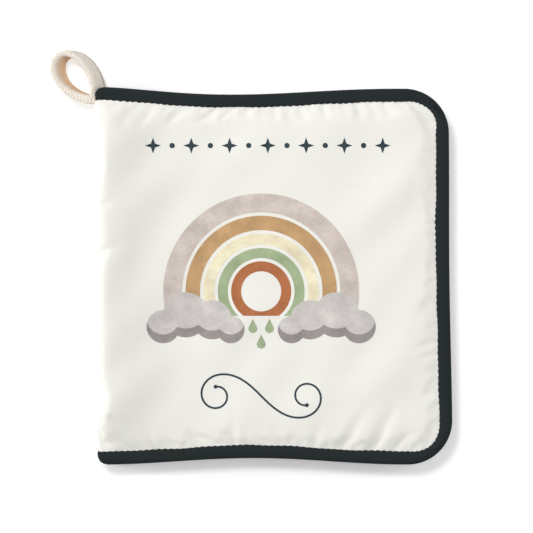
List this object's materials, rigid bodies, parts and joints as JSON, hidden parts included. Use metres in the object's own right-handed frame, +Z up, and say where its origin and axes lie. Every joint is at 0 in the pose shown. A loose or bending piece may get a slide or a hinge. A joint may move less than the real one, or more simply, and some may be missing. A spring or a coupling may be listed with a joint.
{
  "type": "soft cloth book",
  "caption": "Padded cloth book lying closed: quilted covers bound in dark tape, soft leaves, a cotton hanging loop at the spine and a printed front.",
  "frame": {"origin": "middle of the back cover's resting face, on the table, at half of the cover's nominal width and height", "axes": "+X from the spine to the fore edge, +Y from the tail to the head, +Z up out of the front cover"},
  "size_m": [0.181, 0.1864, 0.0202],
  "materials": {
    "cover_cloth": "fine ribbed off-white cloth",
    "page_cloth": "plain white cotton",
    "wadding": "polyester wadding",
    "lining": "plain off-white cotton",
    "thread": "sewing thread",
    "binding_tape": "dark slate woven tape",
    "cotton_tape": "natural herringbone cotton tape",
    "ink_grey": "soft printed colour",
    "ink_dark_grey": "soft printed colour",
    "ink_tan": "soft printed colour",
    "ink_cream": "soft printed colour",
    "ink_sage": "soft printed colour",
    "ink_rust": "soft printed colour",
    "ink_navy": "soft printed colour"
  },
  "bodies": {
    "spine_and_pages": {"pages": "page_cloth", "spine_cloth": "cover_cloth", "spine_wadding": "wadding", "spine_lining": "lining", "spine_binding_head": "binding_tape", "spine_binding_tail": "binding_tape", "spine_stitching": "thread", "hanging_loop": "cotton_tape"},
    "front_cover": {"front_cloth": "cover_cloth", "front_wadding": "wadding", "front_lining": "lining", "front_binding": "binding_tape", "print_arch_grey": "ink_grey", "print_arch_tan": "ink_tan", "print_arch_cream": "ink_cream", "print_arch_sage": "ink_sage", "print_arch_rust": "ink_rust", "print_clouds": "ink_grey", "print_cloud_shade": "ink_dark_grey", "print_drops": "ink_sage", "print_garland": "ink_navy", "print_scroll": "ink_navy"},
    "back_cover": {"back_cloth": "cover_cloth", "back_wadding": "wadding", "back_lining": "lining", "back_binding": "binding_tape"}
  },
  "joints": [
    {"name": "front_cover_hinge", "type": "hinge", "parent": "spine_and_pages", "child": "front_cover", "pos_m": [-0.0785, 0, 0.0162], "axis": [0, -1, 0], "range_deg": [0, 180]},
    {"name": "back_cover_hinge", "type": "hinge", "parent": "spine_and_pages", "child": "back_cover", "pos_m": [-0.0785, 0, 0.0021], "axis": [0, 1, 0], "range_deg": [0, 180]}
  ]
}
